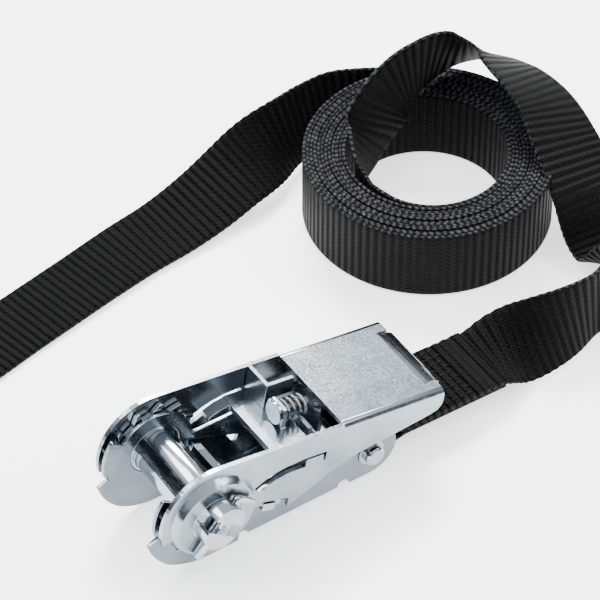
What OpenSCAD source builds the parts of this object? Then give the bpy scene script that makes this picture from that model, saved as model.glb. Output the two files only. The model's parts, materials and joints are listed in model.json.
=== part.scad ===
// Endless ratchet strap for 25 mm webbing: a folding ratchet buckle with a sewn, coiled webbing.
// Millimetres. +X runs from the spool to the strap bolt, +Z is up.
// The origin is the centre of the underside of the frame's base.

/* [Webbing] */
// Width of the webbing
web_w = 25; // [24:1:26]
// Thickness of the webbing
web_t = 1.2; // [1.0:0.1:1.4]
// Outer radius of the coiled webbing
coil_r = 40.7; // [38:0.1:41]
// Inner radius of the coiled webbing
coil_hole_r = 25; // [24:0.5:28]

/* [Frame] */
// Thickness of the frame's and the handle's sheet steel
sheet_t = 1.4; // [1.2:0.1:1.5]
// Height of the spool's axis above the base
spool_h = 21.5; // [21.2:0.1:22]
// Distance from the spool's axis to the strap bolt, along the base
bolt_run = 57.8; // [56:0.1:59]
// Height of the strap bolt's axis above the base
bolt_h = 10.2; // [10:0.1:10.6]
// Radius of the cheek's rim where the drive pawl works
rim_r = 13; // [12.8:0.1:13.2]
// Radius of the cam that lifts the drive pawl off the wheel
cam_r = 17.6; // [17:0.1:17.6]

/* [Spool] */
// Radius of each half-round bar
bar_r = 5.4; // [5.0:0.1:5.6]
// Half of the slot between the two bars
slot_half = 2; // [1.6:0.1:2]
// Angle of the slot above the base
slot_angle = 140.4; // [130:0.1:150]
// Tip radius of the ratchet wheels
wheel_r = 15.3; // [15:0.1:15.4]
// Number of teeth on each ratchet wheel
teeth = 12; // [12:1:12]

/* [Handle] */
// Length of the handle from the spool's axis to the end of the grip
handle_len = 82.2; // [80:0.1:84]
// Height of the grip above the spool's axis, square to the handle
grip_h = 17.3; // [17.2:0.1:17.6]
// Slope of the closed handle down towards the grip
handle_drop = 9.6; // [9:0.1:10]
// Length of the grip plate along the handle
grip_len = 38.4; // [37:0.1:38.6]

/* [Hidden] */
$fn = 64;
run_gap = 0.3;                          // clearance between sliding faces
fit_gap = 0.05;                         // radial clearance of a shaft in its hole
spool_x = -31;                          // the spool's axis, from the origin
bolt_x = spool_x + bolt_run;
cheek_in = web_w / 2 + 0.5;             // inner face of a cheek, from the middle plane
cheek_out = cheek_in + sheet_t;
wheel_in = cheek_out + run_gap;
wheel_t = 1.5;
wheel_out = wheel_in + wheel_t;
arm_in = wheel_out + run_gap;
arm_out = arm_in + sheet_t;
boss_rise = 2.4;                        // how far the arm's boss stands out
boss_face = arm_out + boss_rise;
boss_r = 12.9;
boss_foot_r = 14.2;
hub_r = 8.2;
pin_r = 1.2;                            // wire of the retaining pins
pin_y = boss_face + run_gap + pin_r + 0.3;
bar_end = pin_y + pin_r + 1.6;
lock_angle = -23.5;                      // direction of the lock pawl, from the spool's axis
lock_t = 2.6;
lock_tip_r = 12.8;
lock_back_r = 27;
lock_travel = 3.4;
lock_ear_r = 18.6;                      // ear that a finger can pull, below the handle's arm
lock_ear_len = 4.5;
lock_ear_y = 18.3;
tooth_root_r = 12.3;
first_tooth = lock_angle + 6.6;         // steep face of the tooth that the lock pawl stops
bend_r = 2.2;                           // outer radius of the frame's and the handle's bends
bolt_r = 2.6;
sleeve_r = 4.2;
ear_from = 31.3;                        // ear of the drive pawl, along the handle
ear_to = 37.5;
pawl_low = 6.5;                         // underside of the drive pawl, above the spool's axis
pawl_top = 8.9;
pull_travel = 1;
stud_h = 12.8;                          // axis of the drive pawl's spring, above the spool's axis
coil_x = 107.5;                         // the coil's axis
coil_y = 70.8;
base_from = 14.6;                       // the base, along the frame from the spool's axis
base_to = 46.3;
sew_to = 78;                            // where the folded end of the webbing stops
sew_h = 7.6;                            // height of the middle of the two layers there

// Middle line of the lead, from inside the coil to the sewn end
lead_route = [
    [85.5, 60.5, 12.6], [84, 70, 13], [87, 80, 17], [96.5, 88, 24], [105, 90, 34],
    [118, 93, 38], [132, 93, 38], [141, 86, 38], [144, 75, 37], [146, 61, 33],
    [144, 47, 27.5], [142.5, 34.5, 19], [142.5, 26, 7], [141, 16, 4], [136, 6, 8],
    [128, -0.5, 12], [118, -4, 12.9], [107, -5.3, 12.5], [96, -3.6, 10.6], [87, -0.8, 8.4],
    [81, -0.1, 7.7], [78, 0, 7.6]];
// Direction across the webbing at each point, towards its upper edge
lead_lean = [
    [0, 0, 1], [0, 0, 1], [0, 0, 1], [-0.3, 0.1, 0.95], [-0.47, 0.1, 0.87],
    [-0.42, -0.1, 0.9], [-0.55, -0.2, 0.8], [-0.73, -0.15, 0.67], [-0.86, -0.15, 0.48], [-0.94, -0.14, 0.31],
    [-0.98, 0, 0.15], [-0.98, 0.1, 0.1], [-0.98, 0.15, 0.06], [-0.95, 0.25, 0.15], [-0.75, 0.35, 0.55],
    [-0.2, 0.3, 0.92], [-0.03, 0.1, 1], [-0.1, 0.3, 0.95], [-0.02, 0.6, 0.8], [0.05, 0.87, 0.4],
    [0.01, 0.99, 0.1], [0, 1, 0]];
// Middle line of the tail, from the outside of the coil to its cut end
tail_route = [
    [118.1, 110.9, 12.6], [110, 114.2, 12.8], [101, 116, 13], [91, 115.5, 13], [81, 113.5, 13],
    [70, 111, 12], [59, 109.5, 9], [47, 108, 5.5], [33, 106.5, 3], [17, 105, 2],
    [-1, 102, 1.5], [-17, 99, 1.3], [-33, 96, 1], [-51, 92, 1], [-76, 87, 1],
    [-106, 82, 1], [-136, 78, 1]];
// Direction across the webbing at each point, towards its upper edge
tail_lean = [
    [0.05, 0, 1], [0.1, 0.1, 1], [0.12, 0.3, 0.95], [0.05, 0.37, 0.93], [-0.08, 0.45, 0.88],
    [-0.15, 0.75, 0.62], [-0.15, 0.92, 0.33], [-0.13, 0.97, 0.2], [-0.1, 0.99, 0.1], [-0.1, 0.99, 0.04],
    [-0.13, 0.99, 0], [-0.15, 0.99, 0], [-0.17, 0.98, 0], [-0.18, 0.98, 0], [-0.18, 0.98, 0],
    [-0.15, 0.98, 0], [-0.1, 1, 0]];

// Points on an arc about the origin
function arc(r, from, to, steps) =
    [for (i = [0:steps]) let (a = from + (to - from) * i / steps) [r * cos(a), r * sin(a)]];
function moved(points, by) = [for (p = points) p + by];
function turned(p, a) = [p[0] * cos(a) - p[1] * sin(a), p[0] * sin(a) + p[1] * cos(a)];

// Stands an outline drawn in X and Z up, from the plane Y = y0 to Y = y0 + t
module upright(y0, t) {
    translate([0, y0 + t, 0]) rotate([90, 0, 0]) linear_extrude(t) children();
}

// The same outline at equal distances on both sides of the middle plane
module both_sides(y0, t) {
    upright(y0, t) children();
    upright(-y0 - t, t) children();
}

// A cylinder along Y
module cross_rod(r, y0, y1) {
    translate([0, y1, 0]) rotate([90, 0, 0]) cylinder(r = r, h = y1 - y0);
}

// Places children in the spool's frame: origin on its axis
module at_spool() {
    translate([spool_x, 0, spool_h]) children();
}

// Places children in the closed handle's frame: X along the handle
module at_handle() {
    at_spool() rotate([0, handle_drop, 0]) children();
}

// ---- frame ----

bolt_from_spool = [bolt_run, bolt_h - spool_h];
cheek_end_r = 9.2;

function cheek_outline() = concat(
    arc(rim_r, -4, 143, 40),
    arc(cam_r, 143, 187, 12),
    arc(16.4, 189, 193, 2),
    [for (a = [195.5:4:235.5]) let (r = 20.4 + 1.1 * min(1, (a - 195.5) / 36)) [r * cos(a), r * sin(a)]],
    arc(spool_h, 240, 270, 10),
    [[10.8, -spool_h], [11.4, -spool_h + 3], [base_from - 0.6, -spool_h + 3], [base_from, -spool_h + bend_r],
     [base_to, -spool_h + bend_r], [base_to + 0.6, -spool_h + 3.2], [base_to + 3, -spool_h + 3.2],
     [base_to + 4, -spool_h + 1.1]],
    moved(arc(cheek_end_r, -90, 80, 20), bolt_from_spool),
    [[44, -1.2], [16, -1.2]]);

module cheek_profile() {
    difference() {
        polygon(cheek_outline());
        circle(r = hub_r + fit_gap);
        rotate(lock_angle)
            translate([lock_tip_r - 0.5, -lock_t / 2 - 0.2])
                square([lock_back_r + lock_travel - lock_tip_r + 0.9, lock_t + 0.4]);
        translate(bolt_from_spool) circle(r = bolt_r);
    }
}

// Quarter-round bend between the base and a cheek, in Y and Z
module base_bend_profile() {
    intersection() {
        difference() {
            circle(r = bend_r);
            circle(r = bend_r - sheet_t);
        }
        translate([0, -bend_r]) square(bend_r);
    }
}

module frame_base() {
    base_len = base_to - base_from;
    translate([spool_x + base_from, -cheek_out + bend_r, 0])
        cube([base_len, 2 * (cheek_out - bend_r), sheet_t]);
    for (side = [0, 1])
        mirror([0, side, 0])
            translate([spool_x + base_from, cheek_out - bend_r, bend_r])
                rotate([90, 0, 90]) linear_extrude(base_len) base_bend_profile();
}

// Tab bent up from the base, which the lock pawl's spring pushes against
module spring_tab() {
    translate([7.2, -5, 0]) cube([sheet_t, 10, 12.4]);
}

module frame() {
    color("silver") {
        at_spool() both_sides(cheek_in, sheet_t) cheek_profile();
        frame_base();
        spring_tab();
    }
}

module strap_bolt() {
    color("silver") translate([bolt_x, 0, bolt_h]) {
        cross_rod(bolt_r, -cheek_out - 1, cheek_out + 0.5);
        translate([0, cheek_out, 0]) rotate([-90, 0, 0]) cylinder(r = 4.3, h = 2);
        translate([0, -cheek_out - 0.6, 0]) rotate([90, 0, 0]) rotate_extrude()
            polygon([[0, 0], [3.2, 0], [3.2, 2], [2.7, 2.5], [0, 2.5]]);
    }
}

module bolt_sleeve() {
    color("silver") translate([bolt_x, 0, bolt_h]) difference() {
        cross_rod(sleeve_r, -cheek_in + 0.1, cheek_in - 0.1);
        cross_rod(bolt_r + 0.1, -cheek_in, cheek_in);
    }
}

module bolt_washer() {
    color("silver") translate([bolt_x, 0, bolt_h]) difference() {
        cross_rod(4.4, -cheek_out - 0.6, -cheek_out);
        cross_rod(bolt_r, -cheek_out - 1, -cheek_out + 1);
    }
}

// ---- lock pawl: a plate that slides towards the spool through the slots in the cheeks ----

module at_lock() {
    at_spool() rotate([0, -lock_angle, 0]) children();
}

module lock_pawl() {
    color("silver") at_lock() linear_extrude(lock_t, center = true) difference() {
        union() {
            translate([lock_tip_r, -wheel_out]) square([lock_back_r - lock_tip_r, 2 * wheel_out]);
            translate([lock_ear_r, -lock_ear_y]) square([lock_ear_len, 2 * lock_ear_y]);
        }
        translate([lock_tip_r - 1, -11.5]) square([3.6, 23]);
    }
}

module lock_spring_stud() {
    color("silver") at_lock() translate([lock_back_r, 0, 0]) rotate([0, 90, 0]) {
        cylinder(r = 1.2, h = 4.4);
    }
}

// A coil spring along X: a swept wire with closed ends, as one polyhedron
module coil_spring(mean_r, wire_r, length, turns, sides = 8, per_turn = 12) {
    rings = turns * per_turn;
    points = [for (i = [0:rings]) let (a = 360 * i / per_turn, x = wire_r + (length - 2 * wire_r) * i / rings)
              for (k = [0:sides - 1]) let (b = 360 * k / sides, r = mean_r + wire_r * cos(b))
              [x + wire_r * sin(b), r * cos(a), r * sin(a)]];
    side_faces = [for (i = [0:rings - 1], k = [0:sides - 1]) let (n = (k + 1) % sides)
                  [i * sides + k, i * sides + n, (i + 1) * sides + n, (i + 1) * sides + k]];
    first_cap = [[for (k = [sides - 1:-1:0]) k]];
    last_cap = [[for (k = [0:sides - 1]) rings * sides + k]];
    polyhedron(points, concat(side_faces, first_cap, last_cap), convexity = 10);
}

module lock_pawl_spring() {
    color("gray") at_lock() translate([lock_back_r + 0.1, 0, 0]) coil_spring(2.5, 0.4, 13, 7);
}

// ---- spool ----

// The slot's plane is level in this frame
module at_slot() {
    at_spool() rotate([0, -slot_angle, 0]) children();
}

module half_round(r) {
    intersection() {
        circle(r = r);
        translate([-r, 0]) square([2 * r, r]);
    }
}

// side is 1 for the bar below the slot, -1 for the bar above it
module spool_bar(side) {
    color("silver") at_slot() difference() {
        upright(-bar_end, 2 * bar_end)
            mirror([0, side > 0 ? 0 : 1]) translate([0, slot_half]) half_round(bar_r);
        for (y = [-pin_y, pin_y])
            translate([0, y, -20]) cylinder(r = pin_r + fit_gap, h = 40);
    }
}

module upper_spool_bar() { spool_bar(-1); }
module lower_spool_bar() { spool_bar(1); }

// One tooth has a steep face at its lower angle, a narrow top and a sloping back
function wheel_outline() = [for (i = [0:teeth - 1]) let (a = first_tooth + 360 / teeth * i)
    each [tooth_root_r * [cos(a), sin(a)], wheel_r * [cos(a), sin(a)],
          wheel_r * [cos(a + 4), sin(a + 4)], (tooth_root_r + 1) * [cos(a + 12), sin(a + 12)],
          tooth_root_r * [cos(a + 16), sin(a + 16)]]];

module wheel_bar_holes() {
    rotate(slot_angle) for (side = [0, 1])
        mirror([0, side]) translate([0, slot_half - 0.02]) half_round(bar_r + 0.03);
}

// side is -1 for the near wheel and 1 for the far one
module ratchet_wheel(side) {
    color("silver") at_spool() mirror([0, side > 0 ? 0 : 1, 0]) {
        upright(wheel_in, wheel_t) difference() {
            polygon(wheel_outline());
            wheel_bar_holes();
        }
        upright(cheek_in, wheel_in - cheek_in) difference() {
            circle(r = hub_r);
            wheel_bar_holes();
        }
        upright(wheel_out, boss_face - wheel_out) difference() {
            circle(r = hub_r);
            wheel_bar_holes();
        }
    }
}

module near_ratchet_wheel() { ratchet_wheel(-1); }
module far_ratchet_wheel() { ratchet_wheel(1); }

// Wire pin through both bars, bent over the upper one
module retaining_pin(side) {
    reach = slot_half + bar_r + pin_r + 0.4;
    color("silver") at_slot() translate([0, side * pin_y, 0]) {
        translate([0, 0, -reach]) cylinder(r = pin_r, h = 2 * reach + 3.6);
        translate([0, 0, -reach]) sphere(r = pin_r);
        translate([0, 0, -reach]) rotate([0, -90, 0]) cylinder(r = pin_r, h = 7);
    }
}

module near_retaining_pin() { retaining_pin(-1); }
module far_retaining_pin() { retaining_pin(1); }

// ---- handle ----

grip_from = handle_len - grip_len;
side_end = handle_len - 2;              // the lip stands out past the sides

function arm_outline() = concat(
    arc(grip_h, 90, 200, 24),
    arc(boss_foot_r - 0.4, 204, 344, 28),
    [[15.4, -2.1], [27.4, -4.5], [27.4, -8], [41, -0.2], [45.5, 2.2], [50.5, 3.8],
     [64.3, 6.7], [side_end - 4, 9.4], [side_end - 1.4, 10.4], [side_end - 0.3, 12],
     [side_end, 13.4], [side_end, grip_h - bend_r]],
    [[grip_from, grip_h - bend_r], [grip_from, grip_h]]);

// Curved slot that the drive pawl's ear slides in
slot_end = ear_to + pull_travel + 0.2;
function pawl_slot() = [
    [14.2, 1.2], [16.2, 2.0], [19, 3.7], [22, 5.0], [25.5, 5.9], [slot_end, 6.1], [slot_end, 9.3],
    [30.4, 9.4], [24.8, 8.8], [21, 7.9], [17.8, 6.6], [14.2, 4.4]];

module arm_profile() {
    difference() {
        polygon(arm_outline());
        polygon(pawl_slot());
        circle(r = boss_foot_r - 1);
    }
}

// Boss raised outwards round the spool, on the arm at positive Y
module arm_boss() {
    wall_r = boss_r - sheet_t;
    translate([0, arm_out, 0]) rotate([-90, 0, 0]) rotate_extrude()
        polygon([[wall_r + 0.6, -sheet_t], [boss_foot_r, -sheet_t], [boss_foot_r, 0], [boss_r, boss_rise],
                 [hub_r + fit_gap, boss_rise], [hub_r + fit_gap, boss_rise - sheet_t],
                 [wall_r, boss_rise - sheet_t], [wall_r + 0.6, 0]]);
}

module grip_bend_profile() {
    intersection() {
        difference() {
            circle(r = bend_r);
            circle(r = bend_r - sheet_t);
        }
        square(bend_r);
    }
}

lip_r = 12;
lip_len = 6;
lip_half_w = 12.5;

// Grip plate, its two long bends and the lip that curls down at its end
module grip() {
    flat_len = grip_len - lip_len;
    half_w = arm_out - bend_r;
    translate([grip_from, -half_w, grip_h - sheet_t]) cube([flat_len, 2 * half_w, sheet_t]);
    for (side = [0, 1]) mirror([0, side, 0]) {
        translate([grip_from + flat_len, lip_half_w, grip_h - sheet_t])
            cube([side_end - grip_from - flat_len, half_w - lip_half_w, sheet_t]);
        translate([grip_from, half_w, grip_h - bend_r])
            rotate([90, 0, 90]) linear_extrude(side_end - grip_from) grip_bend_profile();
    }
    translate([grip_from + flat_len, 0, grip_h - lip_r])
        upright(-lip_half_w + run_gap, 2 * (lip_half_w - run_gap))
        intersection() {
            difference() {
                circle(r = lip_r);
                circle(r = lip_r - sheet_t);
            }
            polygon([[0, 0], [0, 24], [13.86, 24]]);
        }
}

// Tongue bent down from the grip's front edge and hooked forward under the spring
tongue_half_w = 6.2;
module tongue() {
    r = 2.4;
    upright(-tongue_half_w, 2 * tongue_half_w) {
        translate([grip_from + r, grip_h - r]) intersection() {
            difference() {
                circle(r = r);
                circle(r = r - sheet_t);
            }
            translate([-r, 0]) square(r);
        }
        translate([grip_from, 6.2]) square([sheet_t, grip_h - r - 6.2]);
        translate([grip_from + sheet_t - r, 6.2]) intersection() {
            difference() {
                circle(r = r);
                circle(r = r - sheet_t);
            }
            translate([0, -r]) square(r);
        }
        translate([40.4, 6.2 - r]) square([grip_from + sheet_t - r - 40.4, sheet_t]);
    }
    upright(-tongue_half_w, 2 * tongue_half_w)
        translate([40.4, 6.2 - r]) square([sheet_t, 4.2]);
}

module handle() {
    color("gainsboro") at_handle() {
        for (side = [0, 1]) mirror([0, side, 0]) {
            upright(arm_in, sheet_t) arm_profile();
            arm_boss();
        }
        grip();
        tongue();
    }
}

// ---- drive pawl: a plate that slides along the handle, with an ear in each arm's slot ----

claw_in = 12;

module claw_profile() {
    polygon([[26, pawl_top], [21, 7.6], [17.6, 5.9], [17.5, 4.5], [22, 5.6], [26, pawl_low]]);
}

module drive_pawl() {
    plate_t = pawl_top - pawl_low;
    color("gainsboro") at_handle() {
        translate([24.5, -wheel_out, pawl_low]) cube([ear_to - 3.3 - 24.5, 2 * wheel_out, plate_t]);
        translate([ear_from, -arm_out - 0.5, pawl_low]) cube([ear_to - ear_from, 2 * arm_out + 1, plate_t]);
        both_sides(claw_in, wheel_out - claw_in) claw_profile();
        difference() {
            translate([32.2, -3.4, pawl_top - 0.1]) cube([sheet_t, 6.8, stud_h + 3 - pawl_top]);
            translate([32, 0, stud_h]) rotate([0, 90, 0]) cylinder(r = 1.6, h = sheet_t + 1);
        }
    }
}

// Upturned wall and side flange that a finger pulls back
module finger_pull() {
    color("gainsboro") at_handle() {
        translate([32.2, 6, pawl_top]) cube([sheet_t, wheel_out - 6, grip_h + 0.5 - pawl_top]);
        translate([32.2 + sheet_t, 6, 12.2]) cube([8.4, sheet_t, grip_h + 0.5 - 12.2]);
    }
}

module spring_guide_stud() {
    color("silver") at_handle() translate([0, 0, stud_h]) rotate([0, 90, 0]) {
        translate([0, 0, 31]) cylinder(r = 3.6, h = 1.2);
        translate([0, 0, 32]) cylinder(r = 1.6, h = 7.2);
    }
}

module drive_pawl_spring() {
    color("gray") at_handle() translate([32.2 + sheet_t, 0, stud_h])
        coil_spring(2.9, 0.5, grip_from - pull_travel - 0.4 - 32.2 - sheet_t, 4);
}

// ---- webbing ----

// Folded end of the webbing: round the bolt's sleeve and sewn down on itself
module sewn_end() {
    r = sleeve_r + fit_gap;
    bolt = [bolt_x, bolt_h];
    color("dimgray") upright(-web_w / 2, web_w) difference() {
        polygon(concat(moved(arc(r + web_t, 70, 285, 40), bolt),
            [[bolt_x + 14, 7.6], [sew_to, sew_h - web_t], [sew_to, sew_h + web_t], [bolt_x + 14, 10]]));
        polygon(concat(moved(arc(r, 60, 300, 40), bolt), [[bolt_x + 11, 8.9]]));
    }
}

// The wound roll, as the block of space its turns fill
module webbing_coil() {
    color("dimgray") translate([coil_x, coil_y, 0]) rotate_extrude()
        translate([coil_hole_r, 0]) square([coil_r - coil_hole_r, web_w]);
}

function step(t, a, b, c, d) =
    0.5 * (2 * b + (c - a) * t + (2 * a - 5 * b + 4 * c - d) * t * t + (3 * b - a - 3 * c + d) * t * t * t);

// A smooth line through points, with n steps between each two
function smooth(p, n) = concat([for (i = [0:len(p) - 2], k = [0:n - 1])
    step(k / n, p[max(i - 1, 0)], p[i], p[i + 1], p[min(i + 2, len(p) - 1)])], [p[len(p) - 1]]);

function unit(v) = v / norm(v);

// Webbing swept along a route, leaning as given at each of its points
module webbing(route, lean, n) {
    line = smooth(route, n);
    across = smooth(lean, n);
    last = len(line) - 1;
    corners = [for (i = [0:last]) let (along = unit(line[min(i + 1, last)] - line[max(i - 1, 0)]),
                                       w = unit(across[i] - (across[i] * along) * along) * web_w / 2,
                                       f = unit(cross(along, w)) * web_t / 2)
               each [line[i] - w - f, line[i] + w - f, line[i] + w + f, line[i] - w + f]];
    sides = [for (i = [0:last - 1], k = [0:3]) let (a = 4 * i + k, b = 4 * i + (k + 1) % 4)
             each [[a, b + 4, b], [a, a + 4, b + 4]]];
    polyhedron(corners, concat([[0, 1, 2], [0, 2, 3]], sides,
        [[4 * last, 4 * last + 2, 4 * last + 1], [4 * last, 4 * last + 3, 4 * last + 2]]), convexity = 10);
}

module webbing_lead() { color("dimgray") webbing(lead_route, lead_lean, 3); }
module webbing_tail() { color("dimgray") webbing(tail_route, tail_lean, 3); }

frame();
strap_bolt();
bolt_sleeve();
bolt_washer();
lock_pawl();
lock_pawl_spring();
lock_spring_stud();
upper_spool_bar();
lower_spool_bar();
near_ratchet_wheel();
far_ratchet_wheel();
near_retaining_pin();
far_retaining_pin();
handle();
drive_pawl();
finger_pull();
drive_pawl_spring();
spring_guide_stud();
sewn_end();
webbing_lead();
webbing_coil();
webbing_tail();
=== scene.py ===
import json
import math

import bpy
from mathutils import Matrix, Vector


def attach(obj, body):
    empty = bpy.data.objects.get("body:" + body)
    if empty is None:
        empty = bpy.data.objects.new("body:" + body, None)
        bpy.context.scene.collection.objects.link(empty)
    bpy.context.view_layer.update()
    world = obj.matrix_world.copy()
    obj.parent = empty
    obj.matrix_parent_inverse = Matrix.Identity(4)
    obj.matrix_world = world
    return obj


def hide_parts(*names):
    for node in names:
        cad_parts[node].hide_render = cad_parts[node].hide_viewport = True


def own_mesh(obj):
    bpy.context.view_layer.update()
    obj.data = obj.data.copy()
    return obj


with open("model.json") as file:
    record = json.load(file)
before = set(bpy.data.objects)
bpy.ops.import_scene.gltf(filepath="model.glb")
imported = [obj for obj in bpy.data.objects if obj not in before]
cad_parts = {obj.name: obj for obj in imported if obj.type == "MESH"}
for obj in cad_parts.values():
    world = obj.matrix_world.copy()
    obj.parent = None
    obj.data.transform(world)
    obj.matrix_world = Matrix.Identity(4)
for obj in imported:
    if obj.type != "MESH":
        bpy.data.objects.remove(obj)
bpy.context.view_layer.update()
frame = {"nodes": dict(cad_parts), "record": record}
nodes = frame["nodes"]

# ---- camera ----

TARGET = Vector((0.0506, 0.0585, 0.0))
camera = bpy.data.objects.new("camera", bpy.data.cameras.new("camera"))
bpy.context.scene.collection.objects.link(camera)
camera.location = (-0.3994, -0.6109, 0.8015)
camera.rotation_mode = "QUATERNION"
camera.rotation_quaternion = (TARGET - camera.location).to_track_quat("-Z", "Y")
camera.data.sensor_width = 36
camera.data.lens = 218.5
camera.data.clip_start = 0.05
camera.data.clip_end = 10
bpy.context.scene.camera = camera

# ---- sizes, in metres ----

WEB_W, WEB_T = 0.025, 0.0012
RIB = 0.0027  # from one cross rib of the weave to the next
YARNS = 28  # rows of yarn across the webbing
COIL_X, COIL_Y = 0.1075, 0.0708
COIL_IN, COIL_OUT = 0.025, 0.0407
COIL_FROM = math.radians(205)
TURNS = 12 + 230 / 360
WOUND_T = 0.00112  # thickness of the webbing where it is wound
BOLT_X, BOLT_H = 0.0268, 0.0102
SEW_TO, SEW_H = 0.078, 0.0076  # where the sewn end stops, and its middle height there
UV_SCALE = 10  # the UV layers hold metres times this

# Middle line of the lead, from inside the coil to the sewn end, in millimetres
LEAD_ROUTE = [
    (85.5, 60.5, 12.6), (84, 70, 13), (87, 80, 17), (96.5, 88, 24), (105, 90, 34),
    (118, 93, 38), (132, 93, 38), (141, 86, 38), (144, 75, 37), (146, 61, 33),
    (144, 47, 27.5), (142.5, 34.5, 19), (142.5, 26, 7), (141, 16, 4), (136, 6, 8),
    (128, -0.5, 12), (118, -4, 12.9), (107, -5.3, 12.5), (96, -3.6, 10.6), (87, -0.8, 8.4),
    (81, -0.1, 7.7), (78, 0, 7.6),
]
# Direction across the webbing at each point, towards its upper edge
LEAD_LEAN = [
    (0, 0, 1), (0, 0, 1), (0, 0, 1), (-0.3, 0.1, 0.95), (-0.47, 0.1, 0.87),
    (-0.42, -0.1, 0.9), (-0.55, -0.2, 0.8), (-0.73, -0.15, 0.67), (-0.86, -0.15, 0.48),
    (-0.94, -0.14, 0.31), (-0.98, 0, 0.15), (-0.98, 0.1, 0.1), (-0.98, 0.15, 0.06),
    (-0.95, 0.25, 0.15), (-0.75, 0.35, 0.55), (-0.2, 0.3, 0.92), (-0.03, 0.1, 1),
    (-0.1, 0.3, 0.95), (-0.02, 0.6, 0.8), (0.05, 0.87, 0.4), (0.01, 0.99, 0.1), (0, 1, 0),
]
# Middle line of the tail, from the outside of the coil to its cut end
TAIL_ROUTE = [
    (118.1, 110.9, 12.6), (110, 114.2, 12.8), (101, 116, 13), (91, 115.5, 13),
    (81, 113.5, 13), (70, 111, 12), (59, 109.5, 9), (47, 108, 5.5), (33, 106.5, 3),
    (17, 105, 2), (-1, 102, 1.5), (-17, 99, 1.3), (-33, 96, 1), (-51, 92, 1),
    (-76, 87, 1), (-106, 82, 1), (-136, 78, 1),
]
TAIL_LEAN = [
    (0.05, 0, 1), (0.1, 0.1, 1), (0.12, 0.3, 0.95), (0.05, 0.37, 0.93), (-0.08, 0.45, 0.88),
    (-0.15, 0.75, 0.62), (-0.15, 0.92, 0.33), (-0.13, 0.97, 0.2), (-0.1, 0.99, 0.1),
    (-0.1, 0.99, 0.04), (-0.13, 0.99, 0), (-0.15, 0.99, 0), (-0.17, 0.98, 0),
    (-0.18, 0.98, 0), (-0.18, 0.98, 0), (-0.15, 0.98, 0), (-0.1, 1, 0),
]


# ---- materials ----

def fill_ramp(node, stops):
    """Give a colour ramp its stops, pairs of place and colour from low to high."""
    elements = node.color_ramp.elements
    for element, (place, colour) in zip((elements[0], elements[1]), (stops[0], stops[-1])):
        element.position = place
        element.color = (*colour, 1)
    for place, colour in stops[1:-1]:
        elements.new(place).color = (*colour, 1)


def tinted_grey(level, blue):
    """A grey whose blue is a little stronger."""
    return level, level, level * blue


class Shader:
    """A Principled material with small helpers for its nodes."""

    def __init__(self, name):
        self.mat = bpy.data.materials.new(name)
        self.mat.use_nodes = True
        self.tree = self.mat.node_tree
        self.bsdf = self.tree.nodes["Principled BSDF"]

    def set(self, **values):
        """Set the shader's own sockets, named with _ for a space."""
        for key, value in values.items():
            self.bsdf.inputs[key.replace("_", " ")].default_value = value

    def drive(self, socket, value):
        """Link a node's output to one of the shader's sockets."""
        self.link(value, self.bsdf.inputs[socket])

    def add(self, kind, **values):
        made = self.tree.nodes.new(kind)
        for key, value in values.items():
            setattr(made, key, value)
        return made

    def link(self, a, b):
        self.tree.links.new(a, b)

    def object_place(self):
        return self.add("ShaderNodeTexCoord").outputs["Object"]

    def metres(self):
        """The coordinates along and across the webbing, from the piece's UV layer."""
        uv = self.add("ShaderNodeUVMap", uv_map="metres")
        split = self.add("ShaderNodeSeparateXYZ")
        self.link(uv.outputs["UV"], split.inputs[0])
        return [self.math("MULTIPLY", split.outputs[i], 1 / UV_SCALE) for i in (0, 1)]

    def combine(self, x, y):
        made = self.add("ShaderNodeCombineXYZ")
        self.link(x, made.inputs[0])
        self.link(y, made.inputs[1])
        return made.outputs[0]

    def math(self, operation, a, b=None):
        made = self.add("ShaderNodeMath", operation=operation)
        for i, value in enumerate((a, b)):
            if value is None:
                continue
            if isinstance(value, (int, float)):
                made.inputs[i].default_value = value
            else:
                self.link(value, made.inputs[i])
        return made.outputs[0]

    def hill(self, fraction):
        """Half a sine wave over 0 to 1."""
        return self.math("SINE", self.math("MULTIPLY", fraction, math.pi))

    def noise(self, vector, scale, detail=3.0, rough=0.5):
        made = self.add("ShaderNodeTexNoise")
        made.inputs["Scale"].default_value = scale
        made.inputs["Detail"].default_value = detail
        made.inputs["Roughness"].default_value = rough
        self.link(vector, made.inputs["Vector"])
        return made.outputs["Fac"]

    def span(self, value, ends, to_ends):
        """Stretch a value from one range, a pair, to another."""
        made = self.add("ShaderNodeMapRange")
        for side, end, to_end in zip(("Min", "Max"), ends, to_ends):
            made.inputs["From " + side].default_value = end
            made.inputs["To " + side].default_value = to_end
        self.link(value, made.inputs["Value"])
        return made.outputs["Result"]

    def ramp(self, value, stops):
        made = self.add("ShaderNodeValToRGB")
        fill_ramp(made, stops)
        self.link(value, made.inputs["Fac"])
        return made.outputs["Color"]

    def bump(self, height, strength, distance, under=None):
        made = self.add("ShaderNodeBump")
        made.inputs["Strength"].default_value = strength
        made.inputs["Distance"].default_value = distance
        self.link(height, made.inputs["Height"])
        if under is not None:
            self.link(under, made.inputs["Normal"])
        return made.outputs["Normal"]


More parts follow.
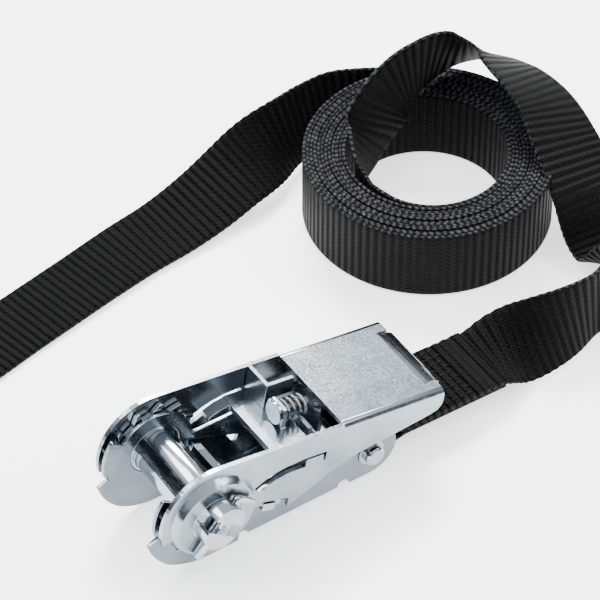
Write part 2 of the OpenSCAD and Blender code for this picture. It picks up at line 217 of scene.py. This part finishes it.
def metal(name, light, dark, rough):
    """Zinc-plated steel: faint clouds and a fine rolling grain, rough from low to high."""
    grain_stretch = (1, 1, 7)
    s = Shader(name)
    place = s.object_place()
    stretched = s.add("ShaderNodeMapping")
    stretched.inputs["Scale"].default_value = grain_stretch
    s.link(place, stretched.inputs["Vector"])
    clouds = s.noise(place, scale=90)
    rolling = s.noise(stretched.outputs["Vector"], scale=900, detail=4, rough=0.6)
    s.drive("Base Color", s.ramp(clouds, [(0.3, dark), (0.7, light)]))
    s.set(Metallic=1.0)
    s.drive("Roughness", s.span(rolling, (0.3, 0.7), rough))
    dents = s.bump(clouds, strength=0.15, distance=0.0004)
    s.drive("Normal", s.bump(rolling, strength=0.2, distance=0.00004, under=dents))
    return s.mat


def weave(name, tint=1.0, sewn=False):
    """Black polyester webbing: cross ribs, lengthwise rows of yarn and painted highlights on the
    yarn crowns.
    """
    yarn_shift = 0.16  # of a rib, at every second yarn
    above_zero = 1000  # whole even number that keeps the coordinates positive
    fibre_along, fibre_across = 700, 6000
    seam_step, seam_slant, seam_from, seam_shade = 0.0034, 0.15, 0.8, 0.55
    s = Shader(name)
    u, v = s.metres()
    yarn = s.math("MULTIPLY", v, YARNS / WEB_W)
    row = s.math("FLOOR", yarn)
    odd = s.math("MODULO", s.math("ADD", row, above_zero), 2)
    in_yarn = s.math("SUBTRACT", yarn, row)
    shift = s.math("MULTIPLY", odd, yarn_shift)
    ribs = s.math("ADD", s.math("MULTIPLY", u, 1 / RIB), shift)
    in_rib = s.math("FRACT", s.math("ADD", ribs, above_zero / 2))
    rib_hill = s.hill(in_rib)
    yarn_hill = s.hill(in_yarn)
    cross = s.math("SINE", s.math("MULTIPLY", u, 2 * math.pi / RIB))
    # fibres run along the webbing, so their noise is far finer across it
    fibre_place = s.combine(s.math("MULTIPLY", u, fibre_along),
                            s.math("MULTIPLY", v, fibre_across))
    fibre = s.noise(fibre_place, scale=1.0, detail=2, rough=0.6)
    cloud = s.noise(s.combine(u, v), scale=130)
    # painted highlight: the crowns of the ribs and yarns are lighter in colour for the light they
    # catch; the same crown shape also makes a bump
    crown_highlight_and_bump = s.math("MULTIPLY", s.math("POWER", rib_hill, 1.5), s.math("POWER", yarn_hill, 0.8))
    light = s.math("MULTIPLY", crown_highlight_and_bump, s.span(fibre, (0.3, 0.75), (0.35, 1.15)))
    light = s.math("MULTIPLY", light, s.span(cloud, (0.3, 0.7), (0.8, 1.15)))
    if sewn:
        # painted shade: slanted bars across the sewn end take the painted highlight down
        slanted = s.math("ADD", u, s.math("MULTIPLY", v, seam_slant))
        in_step = s.math("FRACT", s.math("MULTIPLY", slanted, 1 / seam_step))
        shade_bar = s.math("MULTIPLY", s.math("GREATER_THAN", in_step, seam_from), seam_shade)
        light = s.math("MULTIPLY", light, s.math("SUBTRACT", 1.0, shade_bar))
    # black weave, lifted to a dark grey where the painted highlights lie
    s.drive("Base Color", s.ramp(light, [
        (0.0, tinted_grey(0.0002 * tint, 1.05)),
        (0.45, tinted_grey(0.0008 * tint, 1.06)),
        (1.0, tinted_grey(0.011 * tint, 1.07)),
    ]))
    s.set(Roughness=0.62, Specular_IOR_Level=0.07, Sheen_Weight=0.01, Sheen_Roughness=0.4)
    big = s.bump(cross, strength=0.9, distance=0.0006)
    small = s.bump(crown_highlight_and_bump, strength=0.9, distance=0.00028, under=big)
    s.drive("Normal", s.bump(fibre, strength=0.35, distance=0.00008, under=small))
    return s.mat


def selvedge():
    """Edges of the webbing: slanted strands with painted highlights on their crowns and painted
    shade in the gaps between them.
    """
    strand_step, slant = 0.0021, 420
    above_zero = 900  # whole number that keeps the coordinate positive
    s = Shader("webbing_selvedge")
    u, v = s.metres()
    slanted = s.math("ADD", s.math("MULTIPLY", u, 1 / strand_step), s.math("MULTIPLY", v, slant))
    strand_highlight = s.hill(s.math("FRACT", s.math("ADD", slanted, above_zero)))
    place = s.combine(u, v)
    fibre = s.noise(place, scale=1600, detail=2, rough=0.6)
    cloud = s.noise(place, scale=60, detail=2)
    # painted highlight on the strand crowns and painted shade between them; the same values also
    # make the bump
    light = s.math("MULTIPLY", s.math("POWER", strand_highlight, 0.8),
                   s.span(fibre, (0.3, 0.7), (0.55, 1.1)))
    light = s.math("MULTIPLY", light, s.span(cloud, (0.3, 0.7), (0.8, 1.1)))
    s.drive("Base Color", s.ramp(light, [
        (0.0, (0.0003, 0.0003, 0.0003)),
        (0.5, (0.0025, 0.0025, 0.003)),
        (1.0, (0.045, 0.045, 0.049)),
    ]))
    s.set(Roughness=0.62, Specular_IOR_Level=0.07)
    s.drive("Normal", s.bump(light, strength=0.9, distance=0.0004))
    return s.mat


def black_thread():
    s = Shader("black_thread")
    twist = s.noise(s.object_place(), scale=2500, detail=2)
    s.drive("Base Color", s.ramp(twist, [
        (0.3, (0.001, 0.001, 0.0011)),
        (0.7, (0.008, 0.008, 0.0085)),
    ]))
    s.drive("Normal", s.bump(twist, strength=0.5, distance=0.0001))
    s.set(Roughness=0.6, Specular_IOR_Level=0.1)
    return s.mat


def floor_white():
    s = Shader("floor_white")
    s.set(Base_Color=(0.95, 0.95, 0.95, 1), Roughness=1.0, Specular_IOR_Level=0.0)
    s.set(Emission_Color=(1, 1, 1, 1), Emission_Strength=1.5)
    return s.mat


ZINC = metal("zinc_sheet", light=(0.29, 0.325, 0.355), dark=(0.20, 0.235, 0.265),
             rough=(0.13, 0.27))
# painted shade: the frame gets a darker copy of the sheet zinc, for the shade on its cheeks
SHADED_FRAME_ZINC = metal("zinc_frame_painted_shade", light=(0.20, 0.235, 0.265), dark=(0.14, 0.17, 0.20),
                   rough=(0.16, 0.30))
STEEL = metal("zinc_turned", light=(0.42, 0.45, 0.48), dark=(0.27, 0.31, 0.35),
              rough=(0.08, 0.17))
WIRE = metal("spring_wire", light=(0.48, 0.50, 0.53), dark=(0.34, 0.36, 0.40),
             rough=(0.15, 0.28))
WEBBING = weave("webbing_weave")
SEWN = weave("webbing_sewn", tint=1.05, sewn=True)
SELVEDGE = selvedge()


# ---- webbing ----

def add_mesh(name, verts, faces, materials, uvs=None):
    """A mesh object in the scene. uvs holds each vertex's place along and across, in metres."""
    mesh = bpy.data.meshes.new(name)
    mesh.from_pydata(verts, [], faces)
    if uvs:
        layer = mesh.uv_layers.new(name="metres")
        for loop in mesh.loops:
            along, across = uvs[loop.vertex_index]
            layer.data[loop.index].uv = (along * UV_SCALE, across * UV_SCALE)
    for material in materials:
        mesh.materials.append(material)
    mesh.update()
    made = bpy.data.objects.new(name, mesh)
    bpy.context.scene.collection.objects.link(made)
    return made


def spline(points, per_step):
    """A Catmull-Rom line through the points."""
    made = []
    for i in range(len(points) - 1):
        a, b = points[max(i - 1, 0)], points[i]
        c, d = points[i + 1], points[min(i + 2, len(points) - 1)]
        for k in range(per_step):
            t = k / per_step
            made.append(0.5 * (2 * b + (c - a) * t + (2 * a - 5 * b + 4 * c - d) * t * t
                               + (3 * b - a - 3 * c + d) * t ** 3))
    made.append(points[-1].copy())
    return made


def stations(line, lean):
    """For each point of a line: the point, the ways across and out of the face, and the
    length so far."""
    made, run = [], 0.0
    for i, p in enumerate(line):
        along = (line[min(i + 1, len(line) - 1)] - line[max(i - 1, 0)]).normalized()
        across = (lean[i] - along * lean[i].dot(along)).normalized()
        if i:
            run += (p - line[i - 1]).length
        made.append((p, across, along.cross(across).normalized(), run))
    return made


def route(points, lean):
    """Stations of a route in millimetres, smoothed."""
    per_step = 24
    line = spline([Vector(p) / 1000 for p in points], per_step)
    return stations(line, spline([Vector(p) for p in lean], per_step))


FACE_STEPS = 14  # of the section's outline, over each face
EDGE_STEPS = 4  # round each selvedge


def section(ripple, thick):
    """Outline of the webbing, in width and thickness: flat faces with rounded selvedges."""
    w, t = WEB_W / 2, thick / 2
    face_in, edge_in, edge_t = 0.0004, 0.0001, t * 0.6
    face = [(2 * w - 2 * face_in) * i / FACE_STEPS for i in range(FACE_STEPS + 1)]
    points = [(-w + face_in + x, t) for x in face]
    points += [(w - edge_in + ripple, edge_t), (w + ripple, 0), (w - edge_in + ripple, -edge_t)]
    points += [(w - face_in - x, -t) for x in face]
    points += [(-w + edge_in - ripple, -edge_t), (-w - ripple, 0),
               (-w + edge_in - ripple, edge_t)]
    return points


def sweep(name, places, thick=WEB_T):
    """A strap along the stations, kept above the floor, with a ripple on its selvedges."""
    ripple_size = 0.00013
    verts, faces, uvs = [], [], []
    for p, across, out, run in places:
        ripple = ripple_size * math.sin(2 * math.pi * run / RIB) - ripple_size
        outline = section(ripple, thick)
        for w, t in outline:
            q = p + across * w + out * t
            q.z = max(q.z, 0.0)
            verts.append(q)
            uvs.append((run, w + WEB_W / 2))
    size = len(outline)
    last = (len(places) - 1) * size
    for i in range(0, last, size):
        for k in range(size):
            a, b = i + k, i + (k + 1) % size
            faces.append((a, a + size, b + size, b))
    faces.append(tuple(range(size)))
    faces.append(tuple(last + k for k in reversed(range(size))))
    made = add_mesh(name, verts, faces, (WEBBING, SELVEDGE), uvs)
    mesh = made.data
    mesh.polygons.foreach_set("use_smooth", [True] * len(mesh.polygons))
    for face in mesh.polygons[:last]:
        k = face.index % size
        near_edge = FACE_STEPS <= k < FACE_STEPS + EDGE_STEPS
        far_edge = k > 2 * FACE_STEPS + EDGE_STEPS
        face.material_index = 1 if near_edge or far_edge else 0
    mesh.update()
    return made


def wound_stations():
    """The wound turns, as one spiral from the inside to the outside."""
    per_turn, room = 240, 0.00005
    ease, ease_in, ease_out = 0.0013, 0.9, 0.7
    lift_size, lift_middle = 0.00035, 0.0001
    lift_waves = (0.37, 0.11)
    steps = int(TURNS * per_turn)
    whole = 2 * math.pi * TURNS
    pitch = (COIL_OUT - COIL_IN - WOUND_T - 2 * room) / TURNS
    spiral = []
    for i in range(steps + 1):
        turned = whole * i / steps
        r = COIL_IN + WOUND_T / 2 + room + pitch * turned / (2 * math.pi)
        # the two ends lean off the roll, in to the lead and out to the tail
        r -= ease * max(0.0, 1 - turned / ease_in) ** 2
        r += ease * max(0.0, 1 - (whole - turned) / ease_out) ** 2
        a = COIL_FROM + turned
        # the turns stand a little higher or lower than each other
        wave = math.sin(turned * lift_waves[0]) * math.sin(turned * lift_waves[1] + 1)
        lift = lift_size * wave + lift_middle
        spiral.append(Vector((COIL_X + r * math.cos(a), COIL_Y + r * math.sin(a),
                              WEB_W / 2 + lift)))
    return stations(spiral, [Vector((0, 0, 1))] * len(spiral))


spiral_places = wound_stations()
coil = sweep("webbing_coil_turns", spiral_places, WOUND_T)
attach(coil, "frame_body")
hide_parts("webbing_coil")

lead_places = route(LEAD_ROUTE, LEAD_LEAN)
lead = sweep("webbing_lead_strap", lead_places)
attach(lead, "frame_body")
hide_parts("webbing_lead")

tail_places = route(TAIL_ROUTE, TAIL_LEAN)
tail = sweep("webbing_tail_strap", tail_places)
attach(tail, "frame_body")
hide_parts("webbing_tail")

# ---- sewn end ----

SLEEVE_R = 0.00425  # inside of the webbing round the sleeve
RISE_X, RISE_H = BOLT_X + 0.014, 0.0100  # where the upper layer leaves the sleeve's curve
LOW_H = 0.0076  # underside below that place
SEAM_DIPS = ((0.0735, 0.0005), (0.0703, 0.0005), (0.0672, 0.0004))  # places and depths
DIP_W = 0.0006


def sewn_top(x):
    """Height of the upper layer, without its dips."""
    t = (x - SEW_TO) / (RISE_X - SEW_TO)
    return SEW_H + WEB_T + (RISE_H - SEW_H - WEB_T) * t


def sewn_outline():
    """Side view of the folded end: the upper layer, the turn round the sleeve, the lower one."""
    layer_steps, turn_steps = 60, 34
    turn_from, turn_by = 70, 215
    upper, turn, lower = [], [], []
    for i in range(layer_steps + 1):
        t = i / layer_steps
        x = SEW_TO + (RISE_X - SEW_TO) * t
        dip = sum(depth * math.exp(-((x - at) / DIP_W) ** 2) for at, depth in SEAM_DIPS)
        upper.append((x, sewn_top(x) - dip))
        lower.append((RISE_X + (SEW_TO - RISE_X) * t, LOW_H + (SEW_H - WEB_T - LOW_H) * t))
    outer = SLEEVE_R + WEB_T
    for i in range(turn_steps + 1):
        a = math.radians(turn_from + turn_by * i / turn_steps)
        turn.append((BOLT_X + outer * math.cos(a), BOLT_H + outer * math.sin(a)))
    return upper + turn + lower


def sewn_core(x, z):
    """Where the fold's side goes in to from an outline point: the sleeve's hole, or the middle
    between the two layers."""
    layers_from, joined_from = BOLT_X + 0.011, 0.05
    open_h, end_gap = 0.0088, 0.0002
    if x > layers_from:
        return min(x, SEW_TO - end_gap), (open_h if x < joined_from else SEW_H)
    way = Vector((x - BOLT_X, z - BOLT_H)).normalized()
    return BOLT_X + SLEEVE_R * way.x, BOLT_H + SLEEVE_R * way.y


def sewn_mesh():
    """The folded end of the webbing: two layers from the bolt's sleeve to the stitching."""
    rows = 16
    across = rows + 1
    outline = sewn_outline()
    count = len(outline)
    run, length = 0.0, []
    for i, (x, z) in enumerate(outline):
        if i:
            run += math.hypot(x - outline[i - 1][0], z - outline[i - 1][1])
        length.append(run)
    verts, faces, uvs = [], [], []
    for i, (x, z) in enumerate(outline):
        for k in range(across):
            y = -WEB_W / 2 + WEB_W * k / rows
            verts.append((x, y, z))
            uvs.append((length[i], y + WEB_W / 2))
    for i in range(count):
        a, b = i * across, (i + 1) % count * across
        for k in range(rows):
            faces.append((a + k, b + k, b + k + 1, a + k + 1))
    near = len(verts)
    far = near + count
    for y, edge in ((-WEB_W / 2, 0.0), (WEB_W / 2, 0.012)):
        for i, (x, z) in enumerate(outline):
            core_x, core_z = sewn_core(x, z)
            verts.append((core_x, y, core_z))
            uvs.append((length[i], edge))
    for i in range(count):
        j = (i + 1) % count
        a, b = i * across, j * across
        faces.append((a, near + i, near + j, b))
        faces.append((a + rows, b + rows, far + j, far + i))
        faces.append((near + i, far + i, far + j, near + j))
    return add_mesh("sewn_end_weave", verts, faces, [SEWN], uvs)


sewn = sewn_mesh()
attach(sewn, "frame_body")
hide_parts("sewn_end")


def stitch(a, b, verts, faces):
    """Add one short length of thread, raised in the middle."""
    radius, raised, sunk = 0.00022, 0.00022, 0.00012
    steps = sides = 6
    along = (b - a).normalized()
    up = Vector((0, 0, 1))
    side = along.cross(up).normalized()
    base = len(verts)
    for i in range(steps + 1):
        t = i / steps
        centre = a.lerp(b, t) + up * (raised * math.sin(math.pi * t) - sunk)
        for k in range(sides):
            c = 2 * math.pi * k / sides
            verts.append(centre + side * radius * math.cos(c) + up * (radius * math.sin(c)))
    for i in range(base, base + steps * sides, sides):
        for k in range(sides):
            p, q = i + k, i + (k + 1) % sides
            faces.append((p, q, q + sides, p + sides))


def thread_mesh():
    """Rows of stitches along the webbing, through both layers."""
    rows, per_row = 9, 8
    first_x, first_y, step = 0.0465, -0.0104, 0.0026
    stitch_length, odd_shift = 0.0021, 0.0008
    verts, faces = [], []
    for row in range(rows):
        y = first_y + step * row
        for i in range(per_row):
            x = first_x + step * i + (odd_shift if row % 2 else 0)
            x_end = x + stitch_length
            stitch(Vector((x, y, sewn_top(x))), Vector((x_end, y, sewn_top(x_end))),
                   verts, faces)
    return add_mesh("sewn_end_thread", verts, faces, [black_thread()])


thread = thread_mesh()
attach(thread, "frame_body")

# ---- the metal parts ----

SLOTS = {"zinc": ZINC, "steel": STEEL, "spring": WIRE}
EDGE_ROUND = {"zinc": 0.0003, "steel": 0.0002}
slot_of = {row["node"]: row["material_slot"] for row in frame["record"]["subparts"]}
for name, obj in nodes.items():
    if slot_of[name] not in SLOTS:
        continue
    obj.data.materials.clear()
    # the frame takes the darker zinc, which is painted shade
    obj.data.materials.append(SHADED_FRAME_ZINC if name == "frame" else SLOTS[slot_of[name]])
    if slot_of[name] not in EDGE_ROUND:
        continue
    weld = obj.modifiers.new("weld", "WELD")
    weld.merge_threshold = 0.000005
    bevel = obj.modifiers.new("bevel", "BEVEL")
    bevel.width = EDGE_ROUND[slot_of[name]]
    bevel.segments = 2
    bevel.limit_method = "ANGLE"
    bevel.angle_limit = math.radians(40)
    bevel.harden_normals = True

# The lock pawl's spring shortens as the pawl slides back, so a copy of it stands for the rigid one
pressed = bpy.data.objects.new("lock_pawl_spring_wire", nodes["lock_pawl_spring"].data.copy())
bpy.context.scene.collection.objects.link(pressed)
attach(pressed, "lock_pawl_body")
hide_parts("lock_pawl_spring")
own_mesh(pressed)

# ---- stage ----

FLOOR_HALF, FLOOR_H = 6, -0.0001
floor_corners = [(x * FLOOR_HALF, y * FLOOR_HALF, FLOOR_H)
                 for x, y in ((-1, -1), (1, -1), (1, 1), (-1, 1))]
floor = add_mesh("floor", floor_corners, [(0, 1, 2, 3)], [floor_white()])

# A studio: a bright ceiling over dark walls
world = bpy.data.worlds.new("studio")
bpy.context.scene.world = world
world.use_nodes = True
tree = world.node_tree
sky = tree.nodes["Background"]
direction = tree.nodes.new("ShaderNodeTexCoord")
parts = tree.nodes.new("ShaderNodeSeparateXYZ")
tree.links.new(direction.outputs["Generated"], parts.inputs[0])
shades = tree.nodes.new("ShaderNodeValToRGB")
fill_ramp(shades, [
    (0.0, (0.02, 0.03, 0.045)),
    (0.16, (0.03, 0.045, 0.06)),
    (0.30, (0.16, 0.19, 0.22)),
    (0.48, (0.75, 0.79, 0.83)),
    (0.62, (0.95, 0.97, 1.0)),
    (1.0, (1, 1, 1)),
])
tree.links.new(parts.outputs["Z"], shades.inputs["Fac"])
tree.links.new(shades.outputs["Color"], sky.inputs["Color"])
sky.inputs["Strength"].default_value = 1.6


def soft_light(name, place, size, watts):
    """A rectangular light that shines on the middle of the object."""
    middle = Vector((0.05, 0.03, 0))
    lamp = bpy.data.objects.new(name, bpy.data.lights.new(name, "AREA"))
    lamp.data.shape = "RECTANGLE"
    lamp.data.size, lamp.data.size_y = size
    lamp.data.energy = watts
    lamp.location = place
    lamp.rotation_mode = "QUATERNION"
    lamp.rotation_quaternion = (middle - Vector(place)).to_track_quat("-Z", "Y")
    bpy.context.scene.collection.objects.link(lamp)


soft_light("key", place=(-0.45, 0.35, 0.95), size=(0.8, 0.6), watts=16)
soft_light("top", place=(0.42, 0.75, 0.85), size=(0.5, 0.35), watts=34)
soft_light("fill", place=(0.75, -0.3, 0.8), size=(0.5, 0.5), watts=7)
